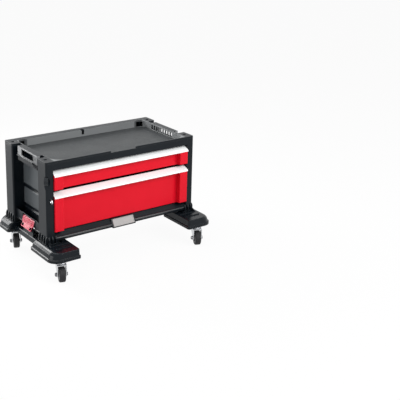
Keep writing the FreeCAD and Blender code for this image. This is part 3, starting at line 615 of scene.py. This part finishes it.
def makeLatchRibs(side, look):
    sign = -1 if side == "left" else 1
    run, drop = look["slope"]
    middle = nodeCentre("side_latch_" + side).y
    spots = []
    for share in look["shares"]:
        x = sign * (look["top"][0] + run * share)
        spots.append(((x, middle, look["top"][1] + drop * share), (sign * -drop, 0, run), (0, 1, 0)))
    grow(ribRecipe, "latch_ribs_" + side, spots, look, "side_latch_" + side + "_leaf")


sillBead = {
    "Length": 0.208,
    "Width": 0.0060,
    "Height": 0.0018,
    "Finish": beadMaterial,
    "middles": (-0.148, 0.148),
    "edge": (-0.1076, 0.1132),
}


def makeSillBead(look):
    y, z = look["edge"]
    spots = [((x, y, z), (0, -1, 0), (1, 0, 0)) for x in look["middles"]]
    grow(ribRecipe, "sill_bead", spots, look, "chest_and_dolly")


hubRibs = {
    "Length": 0.0078,
    "Width": 0.0016,
    "Height": 0.0058,
    "Finish": hubMaterial,
    "count": 8,
    "ring": 0.0107,
    "web": 0.0024,
    "headings": (-18.4, -23.5, -21.0, -17.0),
}


def makeHubRibs(corner, look):
    heading = math.radians(look["headings"][corners.index(corner)])
    axle = Vector((math.cos(heading), math.sin(heading), 0))
    ahead = Vector((-math.sin(heading), math.cos(heading), 0))
    middle = nodeCentre("caster_hub_" + corner)
    spots = []
    for side in (-1, 1):
        for step in range(look["count"]):
            angle = 2 * math.pi * step / look["count"]
            spoke = ahead * math.cos(angle) + Vector((0, 0, math.sin(angle)))
            place = middle + spoke * look["ring"] + axle * side * look["web"]
            spots.append((place, axle * side, spoke))
    grow(ribRecipe, "hub_ribs_" + corner, spots, look, "wheel_" + corner)


makePlateScrews(plateScrews)
makeBackScrews(backScrews)
for drawer in ("upper_drawer", "lower_drawer"):
    makeTubScrews(drawer, tubScrews)
for side in ("left", "right"):
    makeLatchRibs(side, latchRibs)
makeSillBead(sillBead)
for corner in corners:
    makeHubRibs(corner, hubRibs)


# Studio: floor, world, lamps and camera

studio = {
    "floorSize": 14.0,
    "floorColour": (0.75, 0.75, 0.75),
    "floorShow": 0.06,  # how much of the floor's own shading is seen under the white
    "skyStrength": 0.38,
    "aim": (0, 0, 0.2),
    "lamps": [
        {"name": "key", "spot": (0.9, -2.6, 1.95), "size": (2.2, 1.6), "power": 84.0},
        {"name": "overhead", "spot": (-0.4, 0.1, 1.7), "size": (1.4, 1.0), "power": 10.0},
        {"name": "back", "spot": (-0.47, 1.12, 0.92), "size": (0.8, 0.36), "power": 14.0},
        {"name": "side", "spot": (-0.80, 1.20, 0.42), "size": (0.7, 0.5), "power": 11.0},
        {"name": "left", "spot": (-2.0, 0.1, 0.35), "size": (1.2, 0.7), "power": 10.0},
    ],
}


def backgroundRays(sheet):
    # 1 for rays that show the white background: straight, mirrored or through glass
    rays = sheet.add("ShaderNodeLightPath").socket.node.outputs
    kinds = ("Is Camera Ray", "Is Glossy Ray", "Is Transmission Ray")
    straight, mirrored, through = [Signal(sheet, rays[kind]) for kind in kinds]
    return straight.calc("MAXIMUM", mirrored.calc("MAXIMUM", through))


def makeFloor(look):
    half = look["floorSize"] / 2
    mesh = bpy.data.meshes.new("studio_floor")
    edge = [(-half, -half, 0), (half, -half, 0), (half, half, 0), (-half, half, 0)]
    mesh.from_pydata(edge, [], [(0, 1, 2, 3)])
    floor = bpy.data.objects.new("studio_floor", mesh)
    bpy.context.scene.collection.objects.link(floor)
    f = Finish("studio_floor")
    matt = f.add("ShaderNodeBsdfDiffuse", sockets={"Color": (*look["floorColour"], 1)})
    white = f.add("ShaderNodeEmission", sockets={"Color": (1, 1, 1, 1), "Strength": 1.0})
    share = backgroundRays(f) * (1 - look["floorShow"])
    mix = f.add("ShaderNodeMixShader", sockets={0: share, 1: matt, 2: white})
    f.end("ShaderNodeOutputMaterial", mix)
    mesh.materials.append(f.material)


def makeSky(look):
    world = bpy.data.worlds.new("studio_sky")
    bpy.context.scene.world = world
    world.use_nodes = True
    sky = NodeSheet(world.node_tree)
    lit, white = [
        sky.add("ShaderNodeBackground", sockets={"Color": (1, 1, 1, 1), "Strength": strength})
        for strength in (look["skyStrength"], 1.0)
    ]
    mix = sky.add("ShaderNodeMixShader", sockets={0: backgroundRays(sky), 1: lit, 2: white})
    sky.end("ShaderNodeOutputWorld", mix)


def makeLamp(look, aim):
    data = bpy.data.lights.new(look["name"], "AREA")
    data.energy = look["power"]
    data.shape = "RECTANGLE"
    data.size, data.size_y = look["size"]
    lamp = bpy.data.objects.new(look["name"], data)
    lamp.location = look["spot"]
    lamp.rotation_euler = (Vector(aim) - lamp.location).to_track_quat("-Z", "Y").to_euler()
    bpy.context.scene.collection.objects.link(lamp)


photoView = {
    "focal": 858.1,  # in pixels of the 400 x 400 frame
    "azimuth": -36.228,
    "elevation": 16.03,
    "roll": 1.221,
    "spot": (-1.42361, -2.332702, 1.18404),
    "centre": (176.0, 132.0),
    "frame": 400.0,
}


def makeCamera(look):
    data = bpy.data.cameras.new("photo_view")
    data.sensor_width = 36.0
    data.lens = look["focal"] * data.sensor_width / look["frame"]
    data.shift_x = (look["frame"] / 2 - look["centre"][0]) / look["frame"]
    data.shift_y = -(look["frame"] / 2 - look["centre"][1]) / look["frame"]
    data.clip_end = 50.0
    azimuth, elevation, roll = [math.radians(look[key]) for key in ("azimuth", "elevation", "roll")]
    flat = math.cos(elevation)
    back = Vector((math.sin(azimuth) * flat, -math.cos(azimuth) * flat, math.sin(elevation)))
    right = Vector((math.cos(azimuth), math.sin(azimuth), 0))
    up = back.cross(right)
    turned = right * math.cos(roll) + up * math.sin(roll)
    raised = up * math.cos(roll) - right * math.sin(roll)
    facing = Matrix((turned, raised, back)).transposed().to_4x4()
    camera = bpy.data.objects.new("photo_view", data)
    camera.matrix_world = Matrix.Translation(look["spot"]) @ facing
    bpy.context.scene.collection.objects.link(camera)
    bpy.context.scene.camera = camera


bpy.context.scene.view_settings.view_transform = "Standard"
makeFloor(studio)
makeSky(studio)
for lamp in studio["lamps"]:
    makeLamp(lamp, studio["aim"])
makeCamera(photoView)
print("studio ready")
